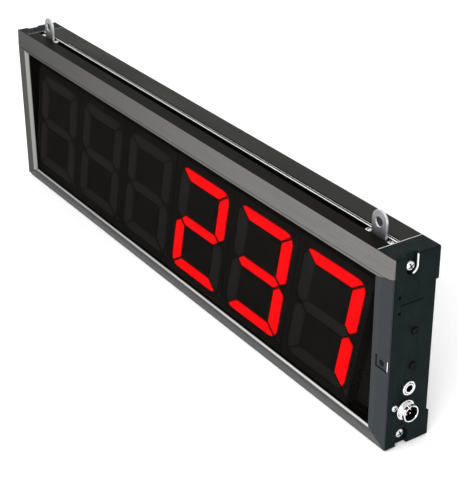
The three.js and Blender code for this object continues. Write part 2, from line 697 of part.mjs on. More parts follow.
for (const [place, x] of Object.entries(HANGER_X)) {
  const outwards = Math.sign(x) * CLAMP_SCREW_OFFSET;
  add(`hanger_${place}`, hanger(x), 'steel');
  add(`clamp_screw_${place}_outer`, clampScrew(x + outwards), 'steel');
  add(`clamp_screw_${place}_inner`, clampScrew(x - outwards), 'steel');
}

// ---------------------------------------------------------------- internal leads
// Each lead is a tube along a smooth route inside the housing, from a connector to the main board.
function lead(points, radius) {
  const route = new THREE.CatmullRomCurve3(points.map((p) => new THREE.Vector3(...p)));
  const section = new THREE.Shape(vectors(circle(0, 0, radius, 8)));
  return new THREE.ExtrudeGeometry(section, { steps: 16, extrudePath: route, bevelEnabled: false });
}

const POWER_ROUTE = [
  [JACK.back - 2 * GAP, JACK.y, JACK.z],
  [275, JACK.y, JACK.z],
  [269, 2, 50],
  [262, 6, 51],
  [252, 6, 54],
  [248, 2, 57],
  [248, CHIP_FRONT + GAP, 57],
];
const SIGNAL_ROUTE = [
  [PIN_BACK - 2 * GAP, SOCKET.y, SOCKET.z],
  [275, SOCKET.y, SOCKET.z],
  [267, 1, 32],
  [258, 5, 32],
  [243, 6, 34],
  [237, 2, 36],
  [237, CHIP_FRONT + GAP, 36],
];
add('power_lead', lead(POWER_ROUTE, 1.6), 'lead');
add('signal_lead', lead(SIGNAL_ROUTE, 2.2), 'lead');

export default assembly;
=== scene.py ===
"""Looks of the six-digit hanging display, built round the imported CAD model.

Lengths inside this script are millimetres in the row frame; meshes are scaled to metres as they are made.
+X runs to the connector end, the display looks along -Y, and the housing stands on z = 0.
"""
import json
import math

import bmesh
import bpy
from mathutils import Matrix, Vector


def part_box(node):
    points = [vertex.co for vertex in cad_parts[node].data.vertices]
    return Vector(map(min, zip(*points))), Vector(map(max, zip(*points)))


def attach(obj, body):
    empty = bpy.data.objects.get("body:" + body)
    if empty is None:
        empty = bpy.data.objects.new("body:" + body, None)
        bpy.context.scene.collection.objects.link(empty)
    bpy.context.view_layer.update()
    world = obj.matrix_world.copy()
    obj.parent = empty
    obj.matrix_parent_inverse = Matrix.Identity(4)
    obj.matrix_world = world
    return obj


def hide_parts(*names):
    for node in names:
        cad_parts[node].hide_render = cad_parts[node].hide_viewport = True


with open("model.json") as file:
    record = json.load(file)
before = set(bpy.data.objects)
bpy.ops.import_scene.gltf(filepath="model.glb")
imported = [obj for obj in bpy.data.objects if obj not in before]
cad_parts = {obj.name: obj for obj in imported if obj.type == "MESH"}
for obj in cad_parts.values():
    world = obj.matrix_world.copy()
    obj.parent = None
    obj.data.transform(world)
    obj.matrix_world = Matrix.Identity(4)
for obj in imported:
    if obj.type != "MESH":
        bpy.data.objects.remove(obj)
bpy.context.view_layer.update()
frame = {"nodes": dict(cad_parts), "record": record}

MM = 0.001
NODES = frame["nodes"]


def box_mm(node):
    """Lowest and highest corners of a CAD node, in millimetres."""
    low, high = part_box(node)
    return low / MM, high / MM


# ------------------------------------------------------------------ camera
IMAGE_HEIGHT = 491
CAMERA_AZIMUTH = math.radians(56.69)
CAMERA_ELEVATION = math.radians(27.90)
CAMERA_ROLL = math.radians(-0.39)
CAMERA_DISTANCE = 1.1239
CAMERA_TARGET = Vector((0.0590, 0.0, 0.0625))
FOCAL_PIXELS = 1319.7
SENSOR = 36.0


def add_camera():
    data = bpy.data.cameras.new("camera")
    data.sensor_width = SENSOR
    data.lens = SENSOR * FOCAL_PIXELS / IMAGE_HEIGHT
    data.clip_start = 0.05
    camera = bpy.data.objects.new("camera", data)
    bpy.context.scene.collection.objects.link(camera)
    a, e = CAMERA_AZIMUTH, CAMERA_ELEVATION
    back = Vector((math.sin(a) * math.cos(e), -math.cos(a) * math.cos(e), math.sin(e)))
    right = Vector((math.cos(a), math.sin(a), 0))
    up = back.cross(right)
    turned_right = right * math.cos(CAMERA_ROLL) + up * math.sin(CAMERA_ROLL)
    turned_up = back.cross(turned_right)
    place = Matrix((turned_right, turned_up, back)).transposed().to_4x4()
    place.translation = CAMERA_TARGET + back * CAMERA_DISTANCE
    camera.matrix_world = place
    bpy.context.scene.camera = camera


add_camera()


# ------------------------------------------------------------------ material nodes
PAINTED_SHADE_SPAN = 0.6  # metres of X over which painted shade levels are laid, centred on the housing


class Shader:
    """A Principled material and short calls that add nodes to it."""

    def __init__(self, name):
        self.material = bpy.data.materials.new(name)
        self.material.use_nodes = True
        self.tree = self.material.node_tree
        self.principled = self.tree.nodes["Principled BSDF"]
        self.place = self.node("ShaderNodeTexCoord").outputs["Object"]

    def node(self, kind, **settings):
        made = self.tree.nodes.new(kind)
        for key, value in settings.items():
            setattr(made, key, value)
        return made

    def link(self, source, target):
        self.tree.links.new(source, target)

    def set(self, **values):
        for key, value in values.items():
            self.principled.inputs[key.replace("_", " ")].default_value = value

    def stretched(self, scale):
        mapping = self.node("ShaderNodeMapping")
        mapping.inputs["Scale"].default_value = scale
        self.link(self.place, mapping.inputs["Vector"])
        return mapping.outputs["Vector"]

    def noise(self, scale, detail=3.0, roughness=0.5, stretch=(1, 1, 1)):
        made = self.node("ShaderNodeTexNoise")
        made.inputs["Scale"].default_value = scale
        made.inputs["Detail"].default_value = detail
        made.inputs["Roughness"].default_value = roughness
        self.link(self.stretched(stretch), made.inputs["Vector"])
        return made.outputs["Fac"]

    def ramp(self, source, stops):
        made = self.node("ShaderNodeValToRGB")
        elements = made.color_ramp.elements
        for i, (where, colour) in enumerate(stops):
            element = elements[i] if i < len(elements) else elements.new(where)
            element.position = where
            element.color = (*colour, 1) if isinstance(colour, tuple) else (colour, colour, colour, 1)
        self.link(source, made.inputs["Fac"])
        return made.outputs["Color"]

    def along_x(self, stops):
        """Grey levels by place along the housing, each (metres, level), laid on as painted shade."""
        split = self.node("ShaderNodeSeparateXYZ")
        self.link(self.place, split.inputs["Vector"])
        span = self.maths("MULTIPLY_ADD", split.outputs["X"], 1 / PAINTED_SHADE_SPAN)
        span.node.inputs[2].default_value = 0.5
        return self.ramp(span, [(x / PAINTED_SHADE_SPAN + 0.5, level) for x, level in stops])

    def mix(self, factor, first, second, blend="MIX"):
        made = self.node("ShaderNodeMix", data_type="RGBA", blend_type=blend)
        self.feed(made.inputs[0], factor)
        self.feed(made.inputs[6], first)
        self.feed(made.inputs[7], second)
        return made.outputs[2]

    def feed(self, socket, value):
        if isinstance(value, bpy.types.NodeSocket):
            self.link(value, socket)
        elif isinstance(value, tuple):
            socket.default_value = (*value, 1)
        else:
            socket.default_value = value

    def maths(self, operation, first, second):
        made = self.node("ShaderNodeMath", operation=operation)
        self.feed(made.inputs[0], first)
        self.feed(made.inputs[1], second)
        return made.outputs[0]

    def bump(self, layers):
        """Stacks bump layers, each (height source, strength, distance in mm)."""
        normal = None
        for height, strength, distance in layers:
            made = self.node("ShaderNodeBump")
            made.inputs["Strength"].default_value = strength
            made.inputs["Distance"].default_value = distance * MM
            self.link(height, made.inputs["Height"])
            if normal is not None:
                self.link(normal, made.inputs["Normal"])
            normal = made.outputs["Normal"]
        self.link(normal, self.principled.inputs["Normal"])

    def edges(self, radius):
        """Near 1 on edges and 0 on flats, from how far a rounded normal turns away from the real one."""
        bevel = self.node("ShaderNodeBevel", samples=6)
        bevel.inputs["Radius"].default_value = radius * MM
        geometry = self.node("ShaderNodeNewGeometry")
        dot = self.node("ShaderNodeVectorMath", operation="DOT_PRODUCT")
        self.link(bevel.outputs["Normal"], dot.inputs[0])
        self.link(geometry.outputs["Normal"], dot.inputs[1])
        return self.ramp(dot.outputs["Value"], [(0.8, 1.0), (0.98, 0.0)])

    def finish(self, colour=None, roughness=None):
        if colour is not None:
            self.feed(self.principled.inputs["Base Color"], colour)
        if roughness is not None:
            self.feed(self.principled.inputs["Roughness"], roughness)
        return self.material


def scaled(colour, factor):
    return tuple(c * factor for c in colour)


def coated_metal(name, colour, wear, roughness=0.45, gloss=0.35, far_end_shade=1.0):
    """Satin coat over an extrusion: drawn lines along X, fine grain, smudges and rubbed edges.

    Painted shade darkens the colour towards the housing's far end, down to the given share of it.
    """
    s = Shader(name)
    lines = s.noise(60, 4, 0.6, (0.5, 14, 14))
    grain = s.noise(2600, 2)
    smudge = s.noise(9, 4, 0.6, (1, 3, 3))
    tone = s.ramp(smudge, [(0.3, scaled(colour, 0.86)), (0.7, scaled(colour, 1.12))])
    tone = s.mix(0.35, tone, s.ramp(lines, [(0.35, scaled(colour, 0.8)), (0.65, scaled(colour, 1.18))]))
    breaks = s.ramp(s.noise(140, 4, 0.65), [(0.42, 0.0), (0.62, 1.0)])
    rubbed = s.maths("MULTIPLY", s.edges(0.6), breaks)
    if far_end_shade < 1.0:
        # painted shade: darker towards the -X end, standing in for the key light's falloff
        tone = s.mix(1.0, tone, s.along_x([(-0.3, far_end_shade), (0.1, 0.85), (0.3, 1.0)]), "MULTIPLY")
    rubbed_tone = tuple(min(0.42, 0.06 + c * 2.2) for c in colour)
    tone = s.mix(s.maths("MULTIPLY", rubbed, wear), tone, rubbed_tone)
    rough = s.ramp(smudge, [(0.3, roughness - 0.06), (0.7, roughness + 0.1)])
    s.set(Metallic=0.0, Specular_IOR_Level=gloss)
    s.bump([(grain, 0.25, 0.03), (lines, 0.2, 0.02)])
    return s.finish(tone, rough)


def moulded_plastic(name, colour, roughness=0.5, grain_size=1900, gloss=0.4, grain_depth=0.35, rub=0.35):
    """Injection-moulded plastic: spark-eroded grain, faint flow marks and rubbed, lighter edges."""
    s = Shader(name)
    grain = s.noise(grain_size, 3, 0.6)
    flow = s.noise(40, 5, 0.6)
    tone = s.ramp(flow, [(0.3, scaled(colour, 0.86)), (0.72, scaled(colour, 1.14))])
    if rub:
        tone = s.mix(s.maths("MULTIPLY", s.edges(0.5), rub), tone, scaled(colour, 2.2))
    rough = s.ramp(s.noise(75, 4, 0.6), [(0.3, roughness - 0.08), (0.7, roughness + 0.12)])
    s.set(Specular_IOR_Level=gloss)
    s.bump([(grain, grain_depth, 0.04), (flow, grain_depth * 0.1, 0.1)])
    return s.finish(tone, rough)


def plated_metal(name, colour, low_rough, high_rough, stretch=(1, 1, 1), tint=(0.78, 0.74, 0.62)):
    """Bright plate with cloudy passivation, tinted patches and drawn scratches."""
    s = Shader(name)
    cloud = s.noise(160, 4, 0.6)
    scratch = s.noise(900, 3, 0.7, stretch)
    tone = s.ramp(cloud, [(0.35, scaled(colour, 0.86)), (0.65, colour)])
    tone = s.mix(s.ramp(s.noise(70, 3), [(0.5, 0.0), (0.75, 0.35)]), tone, tint)
    rough = s.ramp(scratch, [(0.3, low_rough), (0.7, high_rough)])
    s.set(Metallic=1.0)
    s.bump([(scratch, 0.25, 0.02), (cloud, 0.1, 0.05)])
    return s.finish(tone, rough)


def smoked_sheet(name):
    """Dark see-through acrylic with a faint satin haze."""
    s = Shader(name)
    haze = s.noise(30, 4, 0.6)
    dust = s.noise(1500, 2)
    tone = s.ramp(haze, [(0.3, (0.0022, 0.0020, 0.0016)), (0.7, (0.0034, 0.0031, 0.0026))])
    s.set(Alpha=0.5, Specular_IOR_Level=0.0)
    s.bump([(dust, 0.02, 0.01)])
    return s.finish(tone, s.ramp(haze, [(0.3, 0.22), (0.7, 0.34)]))


def resin(name, colour, light=None, strength=0.0):
    """Milky diffusing resin. Where light is given it glows, a little unevenly as its lamps do."""
    s = Shader(name)
    cloud = s.noise(220, 4, 0.6)
    tone = s.ramp(cloud, [(0.3, scaled(colour, 0.85)), (0.7, scaled(colour, 1.15))])
    s.set(Specular_IOR_Level=0.3)
    if light:
        glow = s.ramp(s.noise(120, 2), [(0.3, scaled(light, 0.9)), (0.7, light)])
        s.link(glow, s.principled.inputs["Emission Color"])
        s.set(Emission_Strength=strength)
    s.bump([(s.noise(1400, 2), 0.12, 0.02)])
    return s.finish(tone, s.ramp(cloud, [(0.3, 0.4), (0.7, 0.6)]))


def circuit_board(name, dark, middle, light):
    """Solder resist with darker tracks and a fine glass weave."""
    s = Shader(name)
    tracks = s.node("ShaderNodeTexBrick", offset=0.5)
    tracks.inputs["Scale"].default_value = 90
    tracks.inputs["Color1"].default_value = (*dark, 1)
    tracks.inputs["Color2"].default_value = (*middle, 1)
    tracks.inputs["Mortar"].default_value = (*light, 1)
    s.link(s.stretched((1, 1, 1)), tracks.inputs["Vector"])
    weave = s.noise(1200, 2)
    s.bump([(weave, 0.2, 0.03)])
    return s.finish(tracks.outputs["Color"], s.ramp(weave, [(0.3, 0.3), (0.7, 0.5)]))


LOOKS = {
    # band, rail, rear and sill are lighter and darker copies of the rails' coat, and far a lighter copy of
    # the bezel coat: painted light and painted shade
    "band": coated_metal("band_coat_painted_light", (0.100, 0.098, 0.094), 0.3, 0.45, 0.12, 0.2),
    "rail": coated_metal("rail_coat_painted_shade", (0.0040, 0.0037, 0.0030), 0.12, 0.4, 0.015),
    "rear": coated_metal("rear_strip_coat_painted_light", (0.0095, 0.0095, 0.0075), 0.15, 0.4, 0.06),
    "bezel": coated_metal("bezel_coat", (0.024, 0.028, 0.031), 0.3, 0.45, 0.05),
    "facet": coated_metal("bezel_facet_coat", (0.023, 0.028, 0.031), 0.3, 0.45, 0.06),
    "far": coated_metal("far_bezel_coat_painted_light", (0.034, 0.034, 0.032), 0.3, 0.45, 0.05),
    # streak: a bright copy of the coat on the far bezel's inner facet, a painted sheen
    "far_facet_sheen": coated_metal("far_facet_painted_sheen", (0.17, 0.17, 0.165), 0.2, 0.4, 0.2),
    "sill": coated_metal("sill_coat_painted_light", (0.060, 0.060, 0.061), 0.3, 0.45, 0.12, 0.7),
    # bead: a near-white colour for edge lines painted as highlights
    "edge_glint": coated_metal("edge_painted_highlight", (0.42, 0.42, 0.41), 0.0, 0.4, 0.3, 0.45),
    # bare: white for lines painted as highlights on the slot's edge, the pocket strips and the infrared
    # tile's bar
    "painted_glint": coated_metal("slot_edge_painted_highlight", (0.80, 0.80, 0.79), 0.0, 0.4, 0.3),
    "cap": moulded_plastic("cap_plastic", (0.0022, 0.0062, 0.0064), 0.5, 1900, 0.05),
    "panel": coated_metal("panel_coat", (0.022, 0.022, 0.023), 0.2, 0.55),
    "filter": smoked_sheet("smoked_acrylic"),
    "housing": moulded_plastic("digit_black", (0.050, 0.047, 0.042), 0.75, 2400, 0.02, 0.03, 0.0),
    "guide": resin("resin_dark", (0.080, 0.077, 0.071)),
    "lit": resin("resin_lit", (0.3, 0.0, 0.001), (1.0, 0.0, 0.002), 4.0),
    "rim": resin("resin_rim", (0.15, 0.0, 0.001), (1.0, 0.0, 0.002), 0.7),
    "board": circuit_board("circuit_board", (0.012, 0.10, 0.035), (0.015, 0.13, 0.045), (0.03, 0.2, 0.08)),
    "mask": circuit_board("black_board", (0.060, 0.056, 0.050), (0.064, 0.060, 0.053), (0.075, 0.070, 0.062)),
    "chip": moulded_plastic("chip_plastic", (0.012, 0.012, 0.013), 0.45, 3000),
    "steel": plated_metal("zinc_plate", (0.72, 0.73, 0.75), 0.26, 0.42, (1, 1, 0.08)),
    # lug: a darker copy of the plate for the hanger's faces, against the rim's bright plate: painted shade
    # and painted highlight
    "lug": plated_metal("lug_plate_shaded_copy", (0.30, 0.30, 0.31), 0.34, 0.5, (1, 1, 0.08), (0.28, 0.28, 0.25)),
    "chrome": plated_metal("polished_chrome", (0.84, 0.85, 0.86), 0.08, 0.2),
    "black": moulded_plastic("black_plastic", (0.0022, 0.0028, 0.0030), 0.38, 2600, 0.04),
    "brass": plated_metal("pin_plate", (0.82, 0.78, 0.68), 0.15, 0.3),
    "lead": moulded_plastic("wire_skin", (0.02, 0.02, 0.02), 0.6, 1200),
}
SLOT_OF = {part["node"]: part["material_slot"] for part in frame["record"]["subparts"]}


# ------------------------------------------------------------------ mesh helpers
FLAT_AREA = 30e-6  # faces larger than this, in square metres, are shaded flat


def place_object(name, bm, looks, scale=MM):
    """Makes an object of a bmesh in millimetres, with one material per name in looks."""
    mesh = bpy.data.meshes.new(name)
    bmesh.ops.scale(bm, vec=(scale, scale, scale), verts=bm.verts)
    bmesh.ops.recalc_face_normals(bm, faces=bm.faces)
    bm.to_mesh(mesh)
    bm.free()
    obj = bpy.data.objects.new(name, mesh)
    bpy.context.scene.collection.objects.link(obj)
    for look in looks:
        mesh.materials.append(LOOKS[look])
    return obj


def baked(obj):
    """Applies the object's modifiers to its mesh."""
    graph = bpy.context.evaluated_depsgraph_get()
    mesh = bpy.data.meshes.new_from_object(obj.evaluated_get(graph))
    obj.modifiers.clear()
    obj.data = mesh
    return obj


def smooth(obj, angle=32):
    """Shades smooth, with edges sharper than the angle kept crisp."""
    bm = bmesh.new()
    bm.from_mesh(obj.data)
    for face in bm.faces:
        face.smooth = face.calc_area() < FLAT_AREA
    for edge in bm.edges:
        edge.smooth = len(edge.link_faces) == 2 and edge.calc_face_angle(0) < math.radians(angle)
    bm.to_mesh(obj.data)
    bm.free()
    return obj


def rounded(obj, width, segments=2, angle=28):
    """Bevels every edge sharper than the angle, in real geometry."""
    bevel = obj.modifiers.new("bevel", "BEVEL")
    bevel.width = width * MM
    bevel.segments = segments
    bevel.limit_method = "ANGLE"
    bevel.angle_limit = math.radians(angle)
    bevel.use_clamp_overlap = True
    bevel.miter_outer = "MITER_ARC"
    return smooth(baked(obj))


def finish_piece(obj, node, slot=None, body="housing"):
    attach(obj, body)
    if node:
        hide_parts(*([node] if isinstance(node, str) else node))
        slot = slot or SLOT_OF[node if isinstance(node, str) else node[0]]
    return obj


def copied(node, merge=True):
    """A bmesh of a CAD node in millimetres, its flat faces merged where they have no holes."""
    bm = bmesh.new()
    bm.from_mesh(NODES[node].data)
    bmesh.ops.remove_doubles(bm, verts=bm.verts, dist=1e-7)
    bmesh.ops.scale(bm, vec=(1 / MM, 1 / MM, 1 / MM), verts=bm.verts)
    if merge:
        bmesh.ops.dissolve_limit(bm, angle_limit=math.radians(0.6), verts=bm.verts, edges=bm.edges)
    return bm


AXIS_TURN = {
    "x": Matrix(((0, 0, 1), (1, 0, 0), (0, 1, 0))),
    "y": Matrix(((1, 0, 0), (0, 0, 1), (0, -1, 0))),
    "z": Matrix.Identity(3),
}


def turned(bm, axis, centre):
    """Turns a shape built along Z to stand along an axis, and moves it to its centre."""
    bmesh.ops.transform(bm, matrix=AXIS_TURN[axis].to_4x4(), verts=bm.verts)
    bmesh.ops.translate(bm, vec=centre, verts=bm.verts)
    return bm


def lathe(profile, sides=48):
    """Revolves [radius, height] points round Z. Points on the axis close the ends."""
    bm = bmesh.new()
    rings = []
    for radius, height in profile:
        if radius < 1e-6:
            rings.append([bm.verts.new((0, 0, height))])
            continue
        rings.append([
            bm.verts.new((radius * math.cos(t), radius * math.sin(t), height))
            for t in (2 * math.pi * i / sides for i in range(sides))
        ])
    for low, high in zip(rings, rings[1:]):
        for i in range(sides):
            j = (i + 1) % sides
            corners = [low[i % len(low)], low[j % len(low)], high[j % len(high)], high[i % len(high)]]
            unique = list(dict.fromkeys(corners))
            if len(unique) > 2:
                bm.faces.new(unique)
    return bm


def block(bm, low, high):
    made = bmesh.ops.create_cube(bm, size=1)["verts"]
    size = [h - l for l, h in zip(low, high)]
    bmesh.ops.scale(bm, vec=size, verts=made)
    bmesh.ops.translate(bm, vec=[(l + h) / 2 for l, h in zip(low, high)], verts=made)


def carve(obj, cutter_bm):
    """Cuts a shape in millimetres out of an object."""
    cutter = place_object("cutter", cutter_bm, [])
    cut = obj.modifiers.new("cut", "BOOLEAN")
    cut.operation = "DIFFERENCE"
    cut.solver = "EXACT"
    cut.object = cutter
    baked(obj)
    bpy.data.objects.remove(cutter)
    return obj


def arc(u, v, radius, start, end, steps):
    angles = (math.radians(start + (end - start) * i / steps) for i in range(steps + 1))
    return [(u + radius * math.cos(t), v + radius * math.sin(t)) for t in angles]


# ------------------------------------------------------------------ rails
top_low, top_high = box_mm("top_rail")
HEIGHT = top_high.z
FRONT = top_low.y
END = top_high.x
SLOT_BACK = -1.1
BAND_BACK = FRONT + 3.5  # the leaning front band lies ahead of this
BAND_FACE = FRONT + 2.3
BRIGHT_FROM = -225.0  # the slot's rear lip carries painted highlight lines from here to the connector end
LIP_LINE = (SLOT_BACK, -0.5)
GLINT_DEPTH = 0.7  # how far down the slot's rear wall the painted highlight reaches
RIDGE = (0.8, 1.15)
RIDGE_GROOVES = ((LIP_LINE[1], RIDGE[0]), (RIDGE[1], 2.6))
CAP_JOINT = 20.8  # from the housing's end to the rail's end
GROOVE_DEEP = 0.8
SILL_HEIGHT = 13.0
SILL_GLINT = 1.5  # height of the strip along the sill's upper edge painted bright as a highlight


def top_rail():
    bm = copied("top_rail")
    geometry = bm.verts[:] + bm.edges[:] + bm.faces[:]
    bmesh.ops.bisect_plane(bm, geom=geometry, plane_co=(0, 0, HEIGHT - GLINT_DEPTH), plane_no=(0, 0, 1))
    obj = place_object("top_rail_body", bm, ["rail", "band", "painted_glint", "rear"])
    past_rail = END - CAP_JOINT + 1
    for near, far in RIDGE_GROOVES:
        cutter = bmesh.new()
        block(cutter, (BRIGHT_FROM, near, HEIGHT - GROOVE_DEEP), (past_rail, far, HEIGHT + 1))
        carve(obj, cutter)
    obj = rounded(obj, 0.2, 2)
    # Painted light and shade: the band takes a lighter copy of the coat than the top, and the rear strip a
    # lighter one than the front strip.
    for face in obj.data.polygons:
        centre, normal = face.center / MM, face.normal
        painted_glint = HEIGHT - centre.z < GLINT_DEPTH and centre.x > BRIGHT_FROM
        if centre.y < BAND_BACK and (centre.y < BAND_FACE or normal.y < -0.6):
            face.material_index = 1
        # painted highlights: white lines on the slot's rear wall, the lip line and the ridge
        elif painted_glint and abs(centre.y - SLOT_BACK) < 0.4 and normal.y < -0.2:
            face.material_index = 2
        elif painted_glint and LIP_LINE[0] - 0.3 < centre.y < LIP_LINE[1] and normal.z > 0.3:
            face.material_index = 2
        elif painted_glint and RIDGE[0] < centre.y < RIDGE[1] and normal.z > 0.3:
            face.material_index = 2
        elif centre.y > SLOT_BACK:
            face.material_index = 3
    return finish_piece(obj, "top_rail")


def bottom_rail():
    obj = place_object("bottom_rail_body", copied("bottom_rail"), ["rail", "sill", "edge_glint"])
    obj = rounded(obj, 0.2, 2)
    # Painted light: the sill's front takes a lighter copy of the rail's coat.
    for face in obj.data.polygons:
        centre, normal = face.center / MM, face.normal
        if centre.y < BAND_BACK:
            # painted highlight on the sill's upward faces along its top edge
            on_painted_highlight = centre.z > SILL_HEIGHT - SILL_GLINT and normal.z > 0.3
            face.material_index = 2 if on_painted_highlight else 1
    return finish_piece(obj, "bottom_rail")


top_rail()
bottom_rail()


# ------------------------------------------------------------------ side bezels
SIDE_LIP = 20.0  # bezel width beside the window
CREASE = 13.0  # the flat outer facet's width; the inner facet falls away towards the window
FALL = 0.7


def side_bezel(node, side):
    bm = copied(node)
    crease_x = side * (END - CREASE)
    geometry = bm.verts[:] + bm.edges[:] + bm.faces[:]
    bmesh.ops.bisect_plane(bm, geom=geometry, plane_co=(crease_x, 0, 0), plane_no=(1, 0, 0))
    inner_width = SIDE_LIP - CREASE
    for vert in bm.verts:
        inside = END - CREASE - abs(vert.co.x)
        if inside > 0.01 and vert.co.y < FRONT + 0.1:
            vert.co.y += FALL * inside / inner_width
    # The far bezel takes a lighter copy of the coat as painted light, with a painted sheen on its inner
    # facet.
    looks = ["far", "far_facet_sheen"] if side < 0 else ["bezel", "facet"]
    obj = rounded(place_object(node + "_moulding", bm, looks), 0.25, 2, 24)
    for face in obj.data.polygons:
        if abs(face.center.x) / MM < END - CREASE - 0.1:
            face.material_index = 1
    return finish_piece(obj, node)


side_bezel("bezel_left", -1)
side_bezel("bezel_right", 1)


# ------------------------------------------------------------------ end caps, panel and filter
def plain_copy(node, suffix, width, segments=2, angle=28, merge=True):
    obj = place_object(f"{node}_{suffix}", copied(node, merge), [SLOT_OF[node]])
    return finish_piece(rounded(obj, width, segments, angle), node)


CAP_EDGE_X = 274.5
CAP_LINE = 0.8  # width of the line along the cap's edge painted bright as a highlight
POCKET_STRIP = {"outer": 5.65, "inner": 5.3, "tall": 8.8, "back": 1.6, "front": 0.15, "sweep": 75}


def end_cap(node):
    """Moulded cap with a line painted bright as a highlight where its edge meets the rails' tops."""
    bm = copied(node, False)
    for side in (-1, 1):
        geometry = bm.verts[:] + bm.edges[:] + bm.faces[:]
        line_x = side * (CAP_EDGE_X + CAP_LINE)
        bmesh.ops.bisect_plane(bm, geom=geometry, plane_co=(line_x, 0, 0), plane_no=(1, 0, 0))
    obj = rounded(place_object(f"{node}_moulding", bm, ["cap", "edge_glint"]), 0.35, 2)
    for face in obj.data.polygons:
        centre, normal = face.center / MM, face.normal
        if abs(centre.x) < CAP_EDGE_X + CAP_LINE and centre.z > HEIGHT - 0.4 and normal.z > 0.2:
            face.material_index = 1
    return finish_piece(obj, node)


def pocket_highlight_strip(name, side):
    """Strip lining the rear wall of the upper end-screw pocket, curling under the screw, painted white as a
    highlight.
    """
    low, high = box_mm(f"end_screw_{name}_top")
    y, z = (low.y + high.y) / 2, (low.z + high.z) / 2
    outer, inner = POCKET_STRIP["outer"], POCKET_STRIP["inner"]
    deep_x, front_x = END - POCKET_STRIP["back"], END - POCKET_STRIP["front"]
    section = ((outer, deep_x), (outer, front_x), (inner, front_x), (inner, deep_x))
    bm = bmesh.new()
    rows = [[bm.verts.new((side * x, y + radius, z + POCKET_STRIP["tall"])) for radius, x in section]]
    for degrees in range(0, POCKET_STRIP["sweep"] + 1, 5):
        cos, sin = math.cos(math.radians(degrees)), math.sin(math.radians(degrees))
        rows.append([
            bm.verts.new((side * x, y + radius * cos, z - radius * sin)) for radius, x in section
        ])
    for first, second in zip(rows, rows[1:]):
        for i in range(4):
            j = (i + 1) % 4
            bm.faces.new((first[i], first[j], second[j], second[i]))
    bm.faces.new(rows[0])
    bm.faces.new(rows[-1])
    obj = rounded(place_object(f"{name}_top_pocket_sleeve", bm, ["painted_glint"]), 0.1, 2)
    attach(obj, "housing")


for name, side in (("left", -1), ("right", 1)):
    end_cap(f"end_cap_{name}")
    pocket_highlight_strip(name, side)
plain_copy("back_panel", "sheet", 0.3)
plain_copy("front_filter", "sheet", 0.3)


# ------------------------------------------------------------------ digits
DIGITS = 6
DIGIT_PITCH = 88.0
DIGITS_SHIFT = -4.5
CHARACTER_WIDTH = 74.0
CHARACTER_HEIGHT = 105.0
UPRIGHT_THICK = 14.4
SEGMENT_THICK = 11.8
SEGMENT_GAP = 1.1
CORNER_RADIUS = 10.0
POINT_RADIUS = 2.4
POINT_OUT = 3.0
LEAN = math.tan(math.radians(12.6))
RIM = 0.7
GLOWING_DEPTH = 4.0
SHOWN = {4: "abged", 5: "abgcd", 6: "abc"}


def character_outlines():
    """Outlines of segments a to g and the point, upright, centred, seen from the front."""
    w, h, g = CHARACTER_WIDTH / 2, CHARACTER_HEIGHT / 2, SEGMENT_GAP / 2
    half = SEGMENT_THICK / 2
    inner, centre, under = w - UPRIGHT_THICK, w - UPRIGHT_THICK / 2, h - SEGMENT_THICK
    m = g * math.sqrt(2)
    corner_u, corner_v = w - CORNER_RADIUS, h - CORNER_RADIUS
    upper = [(a - m, b) for a, b in arc(corner_u, corner_v, CORNER_RADIUS, 45, 90, 6)]
    outer = [(a, b - m) for a, b in arc(corner_u, corner_v, CORNER_RADIUS, 0, 45, 6)]
    top = [(inner - m, under), *upper, *[(-a, b) for a, b in reversed(upper)], (m - inner, under)]
    side = [(inner, under - m), (inner, half + g), (centre, 2 * g), (w, half + g), *outer]
    tip = centre - 2 * g
    middle = [
        (tip, 0), (inner, half - g), (-inner, half - g),
        (-tip, 0), (-inner, g - half), (inner, g - half),
    ]

    def mirrored(outline, u, v):
        return [(u * a, v * b) for a, b in outline]

    point = arc(w + POINT_OUT, POINT_RADIUS - h, POINT_RADIUS, 0, 345, 23)
    return {
        "a": top,
        "b": side,
        "c": mirrored(side, 1, -1),
        "d": mirrored(top, 1, -1),
        "e": mirrored(side, -1, -1),
        "f": mirrored(side, -1, 1),
        "g": middle,
        "point": point,
    }


OUTLINES = character_outlines()


def digit(number):
    """The light guides of one digit: a rounded bar per segment, glowing where the digit shows it."""
    node = f"digit_{number}_light_guide"
    low, high = box_mm(node)
    middle_x = DIGITS_SHIFT + (number - (DIGITS + 1) / 2) * DIGIT_PITCH
    middle_z = (low.z + high.z) / 2
    bm = bmesh.new()
    for name, outline in OUTLINES.items():
        lit = name in SHOWN.get(number, "")
        points = [(middle_x + u + v * LEAN, middle_z + v) for u, v in outline]
        front = [bm.verts.new((x, low.y, z)) for x, z in points]
        back = [bm.verts.new((x, low.y + GLOWING_DEPTH, z)) for x, z in points]
        bm.faces.new(front).material_index = 1 if lit else 0
        bm.faces.new(list(reversed(back)))
        for i, vert in enumerate(front):
            j = (i + 1) % len(front)
            side = bm.faces.new((vert, back[i], back[j], front[j]))
            side.material_index = 2 if lit else 0
    obj = place_object(f"digit_{number}_segments", bm, ["guide", "lit", "rim"])
    obj = rounded(obj, RIM, 3, 50)
    for face in obj.data.polygons:
        if face.material_index and face.normal.y > -0.98:
            face.material_index = 2
    finish_piece(obj, node, "guide")
    plain_copy(f"digit_{number}_housing", "face", 0.12, 1, 28, False)


for number in range(1, DIGITS + 1):
    digit(number)


# ------------------------------------------------------------------ screws
DOME_RISE = 0.62  # share of the head's height that its dome takes up
SCREW_TURN = 0.5  # radians the cross recess is turned from upright


